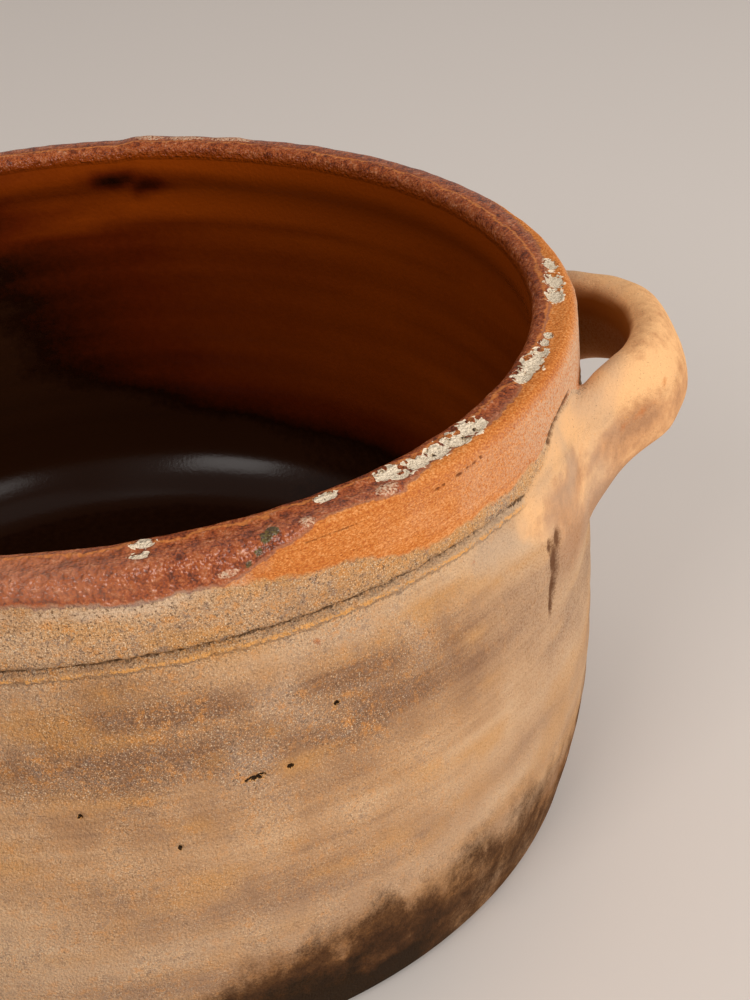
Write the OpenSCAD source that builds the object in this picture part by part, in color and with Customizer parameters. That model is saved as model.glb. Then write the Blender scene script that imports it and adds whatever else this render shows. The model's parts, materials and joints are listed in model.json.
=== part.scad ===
// Round terracotta cooking pot with a folded rim and a loop handle on each side.
// Millimetres. The origin is the centre of the flat base and Z is up.
// The handles stand out along +X and -X. The pot is one fired piece.

/* [Body] */
// Height from the base to the top of the lip
pot_h = 128.6; // [90:0.1:220]
// Outer radius of the belly where it is widest
belly_r = 122; // [80:0.5:200]
// Height of the widest part of the belly
belly_z = 42; // [25:0.5:70]
// Outer radius at the foot of the wall, before its corner is rounded
foot_r = 116; // [70:0.5:190]
// Outer radius just under the groove
neck_r = 117.6; // [75:0.1:195]
// Rounding of the corner between wall and base
foot_round = 4.5; // [1:0.5:12]
// Thickness of the wall
wall_t = 8; // [4:0.5:14]
// Thickness of the floor
floor_t = 8.5; // [5:0.5:16]
// Radius of the cove between floor and wall inside
cove_r = 23; // [8:1:40]

/* [Rim] */
// Height of the folded band, from the groove to the lip
band_h = 19.3; // [10:0.1:35]
// Outer radius of the band at its top
band_r = 116.7; // [75:0.1:195]
// Inner radius of the lip
lip_in_r = 106.2; // [65:0.1:185]
// Rounding of the lip's outer edge
lip_round_out = 3.2; // [1:0.1:5]
// Rounding of the lip's inner edge
lip_round_in = 2.4; // [1:0.1:5]
// Height of the bead that the lip makes inside
bead_h = 9.5; // [6:0.5:16]
// Height over which the bead runs out into the wall
bead_fade = 4.5; // [2:0.5:12]
// Width of the groove cut around the pot under the band
groove_w = 2.2; // [1:0.1:4]
// Depth of that groove
groove_d = 1.1; // [0.4:0.1:2.5]

/* [Handles] */
// How far a handle stands out from the wall
handle_out = 26; // [16:0.5:45]
// Distance between the middles of a handle's two roots
handle_span = 80; // [60:1:110]
// How square the loop is, 2 is a plain arch
loop_square = 2.2; // [2:0.1:4]
// Height of the middle of the roots above the base
root_z = 96; // [60:0.5:110]
// How far the loop rises from its roots to its middle
loop_rise = 12; // [0:0.5:20]
// Width of the strap, measured up and down
strap_w = 24.5; // [14:0.5:36]
// Thickness of the strap
strap_t = 13; // [8:0.5:20]
// Lean of the strap towards the pot, in degrees
strap_lean = 19; // [0:1:25]
// Height of a root where it is smeared onto the wall
root_h = 43; // [26:1:60]
// Width of a root where it is smeared onto the wall
root_w = 44; // [20:1:60]

/* [Hidden] */
$fn = 180;

clay = [0.74, 0.52, 0.34];
wall_steps = 14;
cove_steps = 10;
round_steps = 6;
ring_steps = 40;
ring_sides = 22;

// Height of the groove, where the wall ends and the band begins
groove_z = pot_h - band_h;
// The wall swells to the belly and draws in again above it
foot_power = 2.2;
neck_power = 1.9;

function foot_part(z) = pow((belly_z - z) / belly_z, foot_power);
function neck_part(z) = pow((z - belly_z) / (groove_z - belly_z), neck_power);

// Outer radius of the wall at height z
function wall_r(z) = z < belly_z
    ? belly_r - (belly_r - foot_r) * foot_part(z)
    : belly_r - (belly_r - neck_r) * neck_part(z);

// Points of an arc about a centre, from angle a0 to angle a1
function arc(cr, cz, r, a0, a1, n) = [
    for (i = [0:n])
        let (a = a0 + (a1 - a0) * i / n)
        [cr + r * cos(a), cz + r * sin(a)]
];

function ease(s) = s * s * (3 - 2 * s);

// Right half of the pot cut through its axis, anticlockwise from the base
wall_lo = foot_round;
wall_hi = groove_z - groove_w / 2;
outer_wall = [
    for (i = [1:wall_steps])
        let (z = wall_lo + (wall_hi - wall_lo) * i / wall_steps)
        [wall_r(z), z]
];
foot_corner = arc(wall_r(foot_round) - foot_round, foot_round, foot_round, -90, 0, round_steps);

// The groove drops steeply from the wall and comes up at a slant: shares of its depth and width
groove_cut = [[0.8, -0.16], [1, 0.06], [0.45, 0.24], [0, 0.5]];
groove = [
    for (share = groove_cut)
        [neck_r - groove_d * share[0], groove_z + groove_w * share[1]]
];
lip_out = arc(band_r - lip_round_out, pot_h - lip_round_out, lip_round_out, 0, 90, round_steps);
lip_in = arc(lip_in_r + lip_round_in, pot_h - lip_round_in, lip_round_in, 90, 180, round_steps);
bead_z = pot_h - bead_h;
fade_z = bead_z - bead_fade;
cove_z = floor_t + cove_r;
bead = [
    for (i = [0:round_steps])
        let (z = bead_z - bead_fade * i / round_steps)
        [lip_in_r + (wall_r(z) - wall_t - lip_in_r) * ease(i / round_steps), z]
];
inner_wall = [
    for (i = [1:wall_steps])
        let (z = fade_z - (fade_z - cove_z) * i / wall_steps)
        [wall_r(z) - wall_t, z]
];
cove_mid = wall_r(cove_z) - wall_t - cove_r;
cove = [
    for (i = [1:cove_steps])
        let (a = 90 * i / cove_steps)
        [cove_mid + cove_r * cos(a), cove_z - cove_r * sin(a)]
];
section = concat(
    [[0, 0]], foot_corner, outer_wall, groove, lip_out,
    lip_in, bead, inner_wall, cove, [[0, floor_t]]
);

// Middle of the strap: t runs from -1 at one root to 1 at the other
root_r = wall_r(root_z) - wall_t / 2;
root_a = asin(handle_span / 2 / root_r);
path_x = root_r * cos(root_a);
loop_x = wall_r(root_z + loop_rise) + handle_out - strap_t / 2;
rise_power = 3.5;
oval = 2.3;
// The roots start to spread where t passes this value
root_from = 0.48;
// The strap comes down to the wall first, and then spreads over it
land_power = 1.7;
spread_power = 3.4;
// The patch lies under the wall's surface, and deeper than the groove
under_groove = 0.4;
patch_sink = groove_d + under_groove;
// Half the step over which the path's direction is taken
look_ahead = 0.01;

function path(t) = [
    path_x + (loop_x - path_x) * (1 - pow(abs(t), loop_square)),
    handle_span / 2 * t,
    root_z + loop_rise * (1 - pow(abs(t), rise_power))
];
function unit(v) = v / norm(v);
function along(t) = unit(path(t + look_ahead) - path(t - look_ahead));
function upright(t) =
    let (lean = [-sin(strap_lean), 0, cos(strap_lean)], d = along(t))
    unit(lean - d * (d * lean));

// Strap section, an oval a little fuller than an ellipse
function full(v) = sign(v) * pow(abs(v), 2 / oval);
function strap_point(t, u) = path(t)
    + cross(along(t), upright(t)) * full(cos(u)) * strap_t / 2
    + upright(t) * full(sin(u)) * strap_w / 2;

// The oval patch that a root ends in, just under the wall's surface
function patch_z(u) = root_z + sin(u) * root_h / 2;
function patch_a(u) = root_a + cos(u) * root_w / 2 / root_r * 180 / PI;

// Angle, height and distance off the wall, back to a point
function off_wall(a, z, off) = [(wall_r(z) + off) * cos(a), (wall_r(z) + off) * sin(a), z];
function root_point(t, u, s) =
    let (p = strap_point(t, u), r = norm([p.x, p.y]), a = atan2(p.y, p.x))
    let (land = pow(s, land_power), part = pow(s, spread_power))
    let (angle = a + (sign(t) * patch_a(u) - a) * part)
    let (z = p.z + (patch_z(u) - p.z) * part)
    off_wall(angle, z, (r - wall_r(p.z)) * (1 - land) - patch_sink * land);
function ring_point(t, u) =
    abs(t) <= root_from
        ? strap_point(t, u)
        : root_point(t, u, min(1, (abs(t) - root_from) / (1 - root_from)));

// Rings lie closer together near the roots
function ring_t(i) = let (x = 2 * i / ring_steps - 1) (x + sin(90 * x)) / 2;
ring_points = [
    for (i = [0:ring_steps])
        for (j = [0:ring_sides - 1])
            ring_point(ring_t(i), 360 * j / ring_sides)
];
root_points = [
    off_wall(-root_a, root_z, -patch_sink),
    off_wall(root_a, root_z, -patch_sink)
];
last_ring = ring_steps * ring_sides;
cap_a = last_ring + ring_sides;
cap_b = cap_a + 1;
side_faces = [
    for (i = [0:ring_steps - 1])
        for (j = [0:ring_sides - 1])
            let (k = (j + 1) % ring_sides, a = i * ring_sides, b = a + ring_sides)
            each [[a + j, a + k, b + j], [a + k, b + k, b + j]]
];
cap_faces = [
    for (j = [0:ring_sides - 1])
        let (k = (j + 1) % ring_sides)
        each [[cap_a, k, j], [cap_b, last_ring + j, last_ring + k]]
];

module body() {
    rotate_extrude()
        polygon(section);
}

module handle() {
    polyhedron(points = concat(ring_points, root_points), faces = concat(side_faces, cap_faces));
}

module pot() {
    color(clay) {
        union() {
            body();
            handle();
            rotate([0, 0, 180])
                handle();
        }
    }
}

pot();
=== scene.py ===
import json
import math

import bpy
import numpy as np
from mathutils import Matrix, Vector, noise

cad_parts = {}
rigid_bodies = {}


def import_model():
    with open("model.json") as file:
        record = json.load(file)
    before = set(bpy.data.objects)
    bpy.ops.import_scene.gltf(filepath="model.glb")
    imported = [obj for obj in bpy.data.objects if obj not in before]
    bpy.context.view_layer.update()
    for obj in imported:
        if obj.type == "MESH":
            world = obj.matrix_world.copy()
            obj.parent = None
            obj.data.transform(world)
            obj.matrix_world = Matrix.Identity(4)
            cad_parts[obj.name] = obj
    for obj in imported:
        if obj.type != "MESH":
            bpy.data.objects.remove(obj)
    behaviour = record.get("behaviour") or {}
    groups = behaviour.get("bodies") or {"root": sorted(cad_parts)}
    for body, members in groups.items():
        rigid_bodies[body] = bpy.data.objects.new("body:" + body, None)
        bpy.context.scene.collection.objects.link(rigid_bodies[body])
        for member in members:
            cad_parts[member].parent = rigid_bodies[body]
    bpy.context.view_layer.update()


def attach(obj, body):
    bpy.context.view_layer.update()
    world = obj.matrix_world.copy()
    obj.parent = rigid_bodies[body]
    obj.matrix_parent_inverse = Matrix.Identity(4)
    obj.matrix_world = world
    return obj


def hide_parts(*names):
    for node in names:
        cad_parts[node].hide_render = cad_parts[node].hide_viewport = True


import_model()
mm = 0.001

# The pot's body, in millimetres: the part's sizes, with the lip's bead run out more softly
body = {
    "height": 128.6, "bellyRadius": 122.0, "bellyHeight": 42.0, "footRadius": 116.0,
    "neckRadius": 117.6, "footRound": 4.5, "wall": 8.0, "floor": 8.5, "cove": 23.0, "band": 19.3,
    "bandRadius": 116.7, "lipInside": 106.2, "lipRoundOut": 3.2, "lipRoundIn": 2.4, "beadHeight": 8.0,
    "beadFade": 9.0, "grooveWidth": 2.2, "grooveDepth": 1.1,
    "footPower": 2.2,        # how the wall swells from the foot to the belly
    "neckPower": 1.9,        # and draws in again above it
    "lipRidge": 0.35,        # how far the lip's top lies under its inner ridge
    "ridgeRadius": 109.2, "ridgeWidth": 1.1,
    "footMargin": 2.0,       # the base's last ring lies this far inside its rounding
    "grooveMargin": 1.6,     # closer rings start this far under the groove
    "weld": 0.02,
}
grooveHeight = body["height"] - body["band"]
# The groove's section, as shares of its depth and of its width
grooveCut = [(0.35, -0.36), (0.8, -0.18), (1, 0.04), (0.75, 0.16), (0.4, 0.28), (0, 0.5)]
# Faces around the pot, and rings of faces in each stretch of its section
faces = {
    "around": 560, "doublings": 4, "base": 4, "foot": 7, "wall": 37, "underGroove": 5, "band": 18,
    "lipRound": 6, "lip": 12, "bead": 5, "beadFade": 6, "inside": 26, "cove": 11, "floor": 5,
}


def wallRadius(z):
    if z < body["bellyHeight"]:
        share = ((body["bellyHeight"] - z) / body["bellyHeight"]) ** body["footPower"]
        return body["bellyRadius"] - (body["bellyRadius"] - body["footRadius"]) * share
    share = ((z - body["bellyHeight"]) / (grooveHeight - body["bellyHeight"])) ** body["neckPower"]
    return body["bellyRadius"] - (body["bellyRadius"] - body["neckRadius"]) * share


def rows(start, end, count):
    return [start + (end - start) * i / count for i in range(1, count + 1)]


def arc(r, z, radius, fromDeg, toDeg, count):
    turns = [math.radians(fromDeg + (toDeg - fromDeg) * i / count) for i in range(count + 1)]
    return [(r + radius * math.cos(a), z + radius * math.sin(a)) for a in turns]


def ease(s):
    return s * s * (3 - 2 * s)


def lipTop(r):
    # the top of the lip: a low ridge near its inner edge, and a shallow dip outside it
    away = (r - body["ridgeRadius"]) / body["ridgeWidth"]
    return body["height"] - body["lipRidge"] * (1 - math.exp(-away * away))


def bodyProfile():
    b = body
    points = [(0.0, 0.0)]
    footCentre = wallRadius(b["footRound"]) - b["footRound"]
    points += [(r, 0.0) for r in rows(0, footCentre - b["footMargin"], faces["base"])]
    points += arc(footCentre, b["footRound"], b["footRound"], -90, 0, faces["foot"])
    top = grooveHeight - b["grooveWidth"] / 2
    close = top - b["grooveMargin"]
    heights = rows(b["footRound"], close, faces["wall"]) + rows(close, top, faces["underGroove"])
    points += [(wallRadius(z), z) for z in heights]
    points += [(b["neckRadius"] - b["grooveDepth"] * depth, grooveHeight + b["grooveWidth"] * width)
               for depth, width in grooveCut]
    low, high = grooveHeight + b["grooveWidth"] / 2, b["height"] - b["lipRidge"] - b["lipRoundOut"]
    points += [(b["neckRadius"] + (b["bandRadius"] - b["neckRadius"]) * (z - low) / (high - low), z)
               for z in rows(low, high, faces["band"])]
    outer = b["bandRadius"] - b["lipRoundOut"]
    points += arc(outer, high, b["lipRoundOut"], 0, 90, faces["lipRound"])[1:]
    inner = b["lipInside"] + b["lipRoundIn"]
    points += [(r, lipTop(r)) for r in rows(outer, inner, faces["lip"])]
    innerTop = lipTop(inner) - b["lipRoundIn"]
    points += arc(inner, innerTop, b["lipRoundIn"], 90, 180, faces["lipRound"])[1:]
    beadEnd = b["height"] - b["beadHeight"]
    points += [(b["lipInside"], z) for z in rows(innerTop, beadEnd, faces["bead"])]
    for share in rows(0, 1, faces["beadFade"]):
        z = beadEnd - b["beadFade"] * share
        inWall = wallRadius(z) - b["wall"]
        points.append((b["lipInside"] + (inWall - b["lipInside"]) * ease(share), z))
    coveTop = b["floor"] + b["cove"]
    inside = rows(beadEnd - b["beadFade"], coveTop, faces["inside"])
    points += [(wallRadius(z) - b["wall"], z) for z in inside]
    coveCentre = wallRadius(coveTop) - b["wall"] - b["cove"]
    points += arc(coveCentre, coveTop, b["cove"], 0, -90, faces["cove"])[1:]
    points += [(r, b["floor"]) for r in rows(coveCentre, 0, faces["floor"])]
    return points


def deselectAll():
    bpy.ops.object.select_all(action="DESELECT")


def pick(piece):
    deselectAll()
    piece.select_set(True)
    bpy.context.view_layer.objects.active = piece


def clearSelection(mesh):
    for parts in (mesh.vertices, mesh.edges, mesh.polygons):
        parts.foreach_set("select", [False] * len(parts))


def startEdit():
    bpy.ops.object.mode_set(mode="EDIT")
    bpy.ops.mesh.select_all(action="SELECT")


def endEdit():
    # with every face's outside turned outwards
    bpy.ops.mesh.select_all(action="SELECT")
    bpy.ops.mesh.normals_make_consistent(inside=False)
    bpy.ops.object.mode_set(mode="OBJECT")


def turnBody():
    # one point pulled out along the profile, then spun around the pot's axis
    deselectAll()
    bpy.ops.mesh.primitive_plane_add(size=mm)
    made = bpy.context.object
    made.name = "potBody"
    startEdit()
    bpy.ops.mesh.merge(type="CENTER")
    here = Vector((0, 0, 0))
    for r, z in bodyProfile()[1:]:
        there = Vector((r, 0, z)) * mm
        bpy.ops.mesh.extrude_vertices_move(TRANSFORM_OT_translate={"value": there - here})
        here = there
    # one slice is spun, and then doubled until it goes all the way round
    slices = 2 ** faces["doublings"]
    oneSlice = math.tau / slices
    bpy.ops.mesh.select_all(action="SELECT")
    bpy.ops.mesh.spin(steps=faces["around"] // slices, angle=oneSlice, center=(0, 0, 0), axis=(0, 0, 1))
    for i in range(faces["doublings"]):
        bpy.ops.mesh.select_all(action="SELECT")
        bpy.ops.mesh.duplicate()
        bpy.ops.transform.rotate(value=oneSlice * 2 ** i, orient_axis="Z", center_override=(0, 0, 0))
    bpy.ops.mesh.select_all(action="SELECT")
    bpy.ops.mesh.remove_doubles(threshold=body["weld"] * mm)
    endEdit()
    return made


# The loop handles, in millimetres: the same sizes as the part
handle = {
    "out": 26.0, "span": 80.0, "square": 2.2, "rootHeight": 96.0, "rise": 12.0, "width": 24.5,
    "thickness": 13.0, "lean": 19.0, "patchHeight": 43.0, "patchWidth": 44.0, "patchSink": 1.5,
    "rootFrom": 0.48,        # past this share of the way out, a root starts
    "risePower": 3.5,
    "landPower": 1.7,        # the strap comes down to the wall first,
    "spreadPower": 3.4,      # and then spreads over it
    "oval": 2.3,             # 2 is a plain ellipse
    "lookAhead": 0.01, "rings": 84, "sides": 36, "seamWeld": 0.35,
    "seamRounds": (6, 5, 4),  # rounds of smoothing at the seam, each over one more ring of faces
}
rootRadius = wallRadius(handle["rootHeight"]) - body["wall"] / 2
rootTurn = math.asin(handle["span"] / 2 / rootRadius)
loopReach = wallRadius(handle["rootHeight"] + handle["rise"]) + handle["out"] - handle["thickness"] / 2


def strapMiddle(t):
    x = rootRadius * math.cos(rootTurn)
    return Vector((x + (loopReach - x) * (1 - abs(t) ** handle["square"]),
                   handle["span"] / 2 * t,
                   handle["rootHeight"] + handle["rise"] * (1 - abs(t) ** handle["risePower"])))


def full(v):
    # a sine or cosine made a little fuller, for the strap's section
    return math.copysign(abs(v) ** (2 / handle["oval"]), v)


def strapPoint(t, u):
    ahead = handle["lookAhead"]
    along = (strapMiddle(t + ahead) - strapMiddle(t - ahead)).normalized()
    lean = math.radians(handle["lean"])
    upright = Vector((-math.sin(lean), 0, math.cos(lean)))
    upright = (upright - along * along.dot(upright)).normalized()
    return (strapMiddle(t) + along.cross(upright) * full(math.cos(u)) * handle["thickness"] / 2
            + upright * full(math.sin(u)) * handle["width"] / 2)


def rootPoint(t, u):
    # the end of the strap comes down to the wall, and then spreads over it
    p = strapPoint(t, u)
    share = (abs(t) - handle["rootFrom"]) / (1 - handle["rootFrom"])
    land, spread = share ** handle["landPower"], share ** handle["spreadPower"]
    turn = math.atan2(p.y, p.x)
    patchTurn = math.copysign(rootTurn + math.cos(u) * handle["patchWidth"] / 2 / rootRadius, t)
    turn += (patchTurn - turn) * spread
    z = p.z + (handle["rootHeight"] + math.sin(u) * handle["patchHeight"] / 2 - p.z) * spread
    off = (math.hypot(p.x, p.y) - wallRadius(p.z)) * (1 - land) - handle["patchSink"] * land
    r = wallRadius(z) + off
    return Vector((r * math.cos(turn), r * math.sin(turn), z))


def pullHandle():
    # a round face pulled out in many short steps, each ring then laid along the strap
    deselectAll()
    bpy.ops.mesh.primitive_circle_add(vertices=handle["sides"], radius=1, fill_type="NGON")
    made = bpy.context.object
    made.name = "handleStrap"
    startEdit()
    for _ in range(handle["rings"]):
        bpy.ops.mesh.extrude_region_move(TRANSFORM_OT_translate={"value": (0, 0, 1)})
    bpy.ops.object.mode_set(mode="OBJECT")
    for v in made.data.vertices:
        x = 2 * v.co.z / handle["rings"] - 1
        t = max(-1.0, min(1.0, (x + math.sin(math.pi / 2 * x)) / 2))
        u = math.atan2(v.co.y, v.co.x)
        v.co = (strapPoint(t, u) if abs(t) <= handle["rootFrom"] else rootPoint(t, u)) * mm
    startEdit()
    endEdit()
    return made


def joinTo(base, tool):
    # both are clay of the same pot, so the overlap goes and one skin is left
    pick(base)
    bpy.ops.object.modifier_add(type="BOOLEAN")
    cut = base.modifiers[-1]
    cut.operation, cut.solver, cut.object = "UNION", "MANIFOLD", tool
    bpy.ops.object.modifier_apply(modifier=cut.name)
    bpy.data.objects.remove(tool)


print("turning the body")
potBody = turnBody()
print("pulling the handles")
rightHandle = pullHandle()
pick(rightHandle)
bpy.ops.object.duplicate()
leftHandle = bpy.context.object
startEdit()
bpy.ops.transform.rotate(value=math.pi, orient_axis="Z", center_override=(0, 0, 0))
bpy.ops.object.mode_set(mode="OBJECT")
print("joining them")
bodyFaces, handleFaces = bpy.data.materials.new("bodyFaces"), bpy.data.materials.new("handleFaces")
for piece in (potBody, rightHandle, leftHandle):
    piece.data.materials.append(bodyFaces)
    piece.data.materials.append(handleFaces)
for piece in (rightHandle, leftHandle):
    piece.data.polygons.foreach_set("material_index", [1] * len(piece.data.polygons))
joinTo(potBody, rightHandle)
joinTo(potBody, leftHandle)


def smearSeams():
    # the joint between strap and wall is smeared smooth, as a thumb does it
    mesh = potBody.data
    sideOf = {}
    for face in mesh.polygons:
        for corner in face.vertices:
            sideOf.setdefault(corner, set()).add(face.material_index)
    seam = [v for v, sides in sideOf.items() if len(sides) > 1]
    clearSelection(mesh)
    for v in seam:
        mesh.vertices[v].select = True
    bpy.ops.object.mode_set(mode="EDIT")
    bpy.ops.mesh.select_mode(type="VERT")
    bpy.ops.mesh.remove_doubles(threshold=handle["seamWeld"] * mm)
    for rounds in handle["seamRounds"]:
        bpy.ops.mesh.select_more()
        bpy.ops.mesh.vertices_smooth(factor=0.5, repeat=rounds)
    endEdit()
    return len(seam)


print("seam points", smearSeams())
mesh = potBody.data
mesh.polygons.foreach_set("material_index", [0] * len(mesh.polygons))
mesh.materials.clear()
for used in (bodyFaces, handleFaces):
    bpy.data.materials.remove(used)
print("faces", len(mesh.polygons), "triangles", sum(len(f.vertices) - 2 for f in mesh.polygons))

# Marks of making and use, and places of painted shade and painted light: degrees around, radius, height,
# and half sizes around, outward and upward
marks = {
    "chip": [(turn, r, 128.3, around, out, 2) for turn, r, around, out in (
        (-77.3, 109.2, 2.2, 1.2), (-77.9, 112.4, 1.9, 0.9), (-58.9, 109.7, 2.5, 1.2),
        (-51.4, 110.3, 3.4, 1.8), (-50.6, 112.6, 2.2, 1.2), (-48, 111.4, 3.6, 1.9),
        (-45.2, 111.5, 3.1, 1.9), (-42, 111.1, 4.3, 2.6), (-39.2, 111, 3.8, 2.4), (-26.6, 110.5, 3, 2),
        (-24, 110.7, 4, 2.6), (-20.9, 111, 2.8, 1.7), (-18.2, 110.8, 1.5, 1.1), (-16.4, 111.2, 1.2, 1),
        (-5.5, 111.4, 3.9, 2), (-1.3, 112, 4.4, 2.2), (3.5, 112.7, 2.8, 1.7))],
    "blob": [(-53.3, 114.2, 127.6, 2.7, 1.6, 1.6), (-62.3, 114.3, 127.4, 1.8, 1.4, 1.3),
        (-70.6, 116.2, 123.4, 2.3, 1.2, 1), (86, 112.5, 128.3, 4, 2, 1.5),
        (80.5, 112, 128.3, 6, 1.8, 1.5), (73.5, 112.8, 128.3, 6.5, 1.7, 1.5)],
    "moss": [(-68.6, 115.8, 124.2, 1.6, 1.2, 1.5), (-67.6, 115.4, 125.6, 1.9, 1.4, 1.6),
        (-66.6, 114.6, 127, 2, 1.5, 1.3), (-65.7, 114.2, 127.8, 1.5, 1.2, 0.9)],
    "torn": [(-48, 116, 124.4, 1.1, 1.5, 0.5), (-47.1, 116, 124.5, 0.7, 1.5, 0.6),
        (-44.9, 115.9, 124.8, 1.6, 1.5, 0.5), (-43.6, 115.9, 125.1, 0.7, 1.5, 0.65),
        (-42.6, 115.9, 125.2, 1.1, 1.5, 0.45), (-41.4, 115.9, 125.4, 0.8, 1.5, 0.6)],
    # scar: dents under the near root and along the strap's edge at the band, darkened partly as painted
    # shade
    "scarAndShade": [(-31, 121.7, 90, 2, 9, 6), (-31.2, 121.6, 84, 1.6, 9, 6), (-31.2, 121.5, 78.5, 1, 9, 4.5),
        (-31.8, 121.5, 94.4, 1.1, 9, 2.2), (-30.3, 121.7, 94.6, 1.5, 9, 3.4),
        (-20.8, 117, 118.4, 2.8, 9, 0.9), (-22.3, 117, 118.3, 2.8, 9, 0.9),
        (-23.8, 117, 118.1, 2.6, 9, 0.9), (-25.1, 117, 117.6, 2.3, 9, 0.9), (-26.2, 117, 117, 1.9, 9, 1),
        (-27.1, 117, 116.2, 1.6, 9, 1), (-27.9, 117, 115.2, 1.2, 9, 1)],
    "rootSkin": [(-23, 118, 106, 20, 14, 12.5), (-29.5, 118, 104, 17, 14, 9)],
    # rootShade: painted shade, low on the roots and along a fold of the strap; rootLight: painted light on
    # the roots' tops
    "rootShade": [(-15.5, 127.5, 104, 7, 6, 4.5), (-12.5, 133, 105.5, 6, 6, 4), (-18.5, 124, 97, 9, 8, 9),
        (-27, 122, 95.5, 9, 8, 8), (-29.5, 121, 103, 6, 7, 7), (-24.5, 121, 103, 5, 7, 9)],
    "rootLight": [(-17.5, 123, 111.5, 7, 6, 4), (-20.5, 121.5, 107.5, 5, 6, 4)],
    "blemish": [(-15.1, 128, 105.8, 2, 2, 0.8), (-14, 130, 106.4, 1.2, 2, 0.7),
        (-13, 131.9, 107.2, 1.8, 2, 0.9), (-12.1, 133.6, 107.9, 1.1, 2, 0.6),
        (-11.1, 135.2, 109, 1.4, 2, 0.9), (-9.9, 136.5, 111.2, 1.2, 2, 1),
        (-21.5, 119.5, 106, 1.3, 3, 1.8)],
    "rust": [(-61.7, 118.1, 102.8, 2.2, 3, 1.3), (-63.2, 118, 103.8, 1, 3, 0.8),
        (-44, 118, 103, 1.5, 3, 1), (-84, 120, 88, 1.3, 3, 0.8), (-55, 121, 66, 1.2, 3, 0.9),
        (35, 118, 104, 2, 3, 1.3)],
    "smudge": [(92, 106.8, 119, 9, 4, 3.5), (86, 108.5, 115, 7, 4, 4)],
    "pits": [(-70.6, 121, 77.9, 1.7, 1.5, 0.55), (-69.9, 121, 78.4, 0.9, 1.5, 0.45),
        (-67, 121, 78.2, 0.7, 1.5, 0.4), (-86.5, 121, 76.7, 0.5, 1.5, 0.45),
        (-78.1, 121.5, 65.7, 0.4, 1.5, 0.4), (-61.8, 120, 88.7, 0.5, 1.5, 0.5)],
}

# Heights of the edges that the paint follows, at degrees around the pot
edges = {
    "glaze": [(-140, 122.6), (-110, 123.4), (-90.5, 123.2), (-86, 123.1), (-82, 122.4), (-78.5, 122.2),
        (-75, 122.4), (-71.4, 121.4), (-67.3, 124.2), (-64.9, 126.4), (-61.2, 129.5), (-57, 130.7),
        (-54.5, 129.4), (-52.4, 128), (-50, 130.4), (-47.3, 131.6), (-38, 132.2), (-28, 133.6),
        (-15, 135.2), (0, 134.6), (20, 131.6), (40, 127.5), (60, 124.5), (80, 122.8), (100, 122.4),
        (125, 123.8), (150, 123)],
    "orange": [(-140, 122.6), (-110, 123.2), (-90.5, 123), (-78.5, 122.4), (-74, 122), (-71.5, 120.7),
        (-67.8, 119.9), (-64, 118.7), (-61, 118.5), (-56.8, 117.4), (-52.3, 113.9), (-48.5, 112.6),
        (-44.2, 113.3), (-37.5, 113.7), (-31, 114.5), (-20, 113), (0, 112), (20, 112.5), (40, 115),
        (60, 119), (80, 122), (100, 122.2), (125, 121), (150, 122.4)],
    "soot": [(-150, 30), (-120, 24), (-100, 16), (-86, 20), (-80.2, 24.1), (-78.1, 27.6),
        (-72, 30.5), (-65.7, 31.7), (-62.3, 33.8), (-57.6, 35.4), (-52.5, 31.1), (-43.4, 32.4),
        (-37.8, 29), (-27.8, 27), (-10, 33), (10, 41), (30, 36), (60, 28), (90, 33),
        (120, 40), (150, 34)],
}
seamHeight = 125.2           # the fold's seam in the band
lipHeight = 119              # above this the skin turns over the lip
wallTop = 109                # just under the groove
innerRadius = 115            # what lies nearer the axis, above the base, is inside

# Hand-made unevenness, in millimetres
uneven = {
    "outOfRound": 0.3, "rimDip": 0.35, "backStep": 0.9, "throwingRings": 0.22, "wallRings": 0.1,
    "rimLumps": 0.22, "grooveCrumbs": 0.45, "grooveFill": 0.45, "burr": 0.38, "strapFacets": 0.7,
    "seamDepth": 0.35, "chipDepth": 0.45, "blobHeight": 0.35, "tearDepth": 0.45, "pitDepth": 0.8,
}

# The clay smeared round the handles' roots: half sizes in degrees and millimetres
swelling = {
    "turns": (-25, 25, 155, -155), "height": 94, "halfTurn": 14, "up": 23.5, "down": 25,
    "most": 4.2, "blend": 2.5, "fullFrom": 1.5, "reach": 12,
}

# Where looks and shape change: each pair says where a change starts and where it ends
turns = {
    "seamStart": (-67, -63), "seamEnd": (-56, -53), "beltLeft": (-60, -45), "leftFoot": (-85, -60),
    "sideStart": (-60, -41), "sideEnd": (20, 70), "goldStart": (-68, -50), "ashEnd": (-70, -64),
    "wornStart": (-54, -38), "wornMore": (-40, -28), "sheenStart": (-24, -16), "wornAndSheenEnd": (20, 30),
    "paleRightStart": (-52, -22), "paleRightEnd": (30, 70), "lipSheenEnd": (-88, -74), "glossEnd": (-86, -72),
    "floorDull": (92, 104), "darkSide": (78, 98), "sootDark": (-78, -60), "sootThin": (-64, -46),
    "stepStart": (88, 91), "stepEnd": (110, 150), "fillStart": (-65, -45), "rootReach": (11, 17),
}
levels = {
    "insideEnd": (124.5, 127.6), "beltLow": (77, 82), "beltHigh": (92, 106), "sidePale": (88, 98),
    "footPale": (35, 75), "goldLow": (109.5, 111), "speckleMore": (103, 111), "hazeHigh": (60, 85),
    "hazeLow": (35, 62), "rootHaze": (4, 14), "wornAndSheenLow": (112, 117), "wornAndSheenHigh": (125, 129.5),
    "paleRightLow": (35, 60), "insideTop": (96, 124), "insideLow": (18, 58), "insideSides": (24, 58),
    "darkSide": (55, 90), "sootDark": (6, 16), "cove": (6, 17), "floorGloss": (19, 24),
    "wallGloss": (26, 60), "lipGloss": (109.5, 113.5), "ringsInside": (12, 20),
    "ringsInsideEnd": (108, 113), "ringsOutside": (10, 20), "ringsOutsideEnd": (100, 106),
    "lumps": (111, 114), "strapClear": (0.5, 4.5),
}


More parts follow.
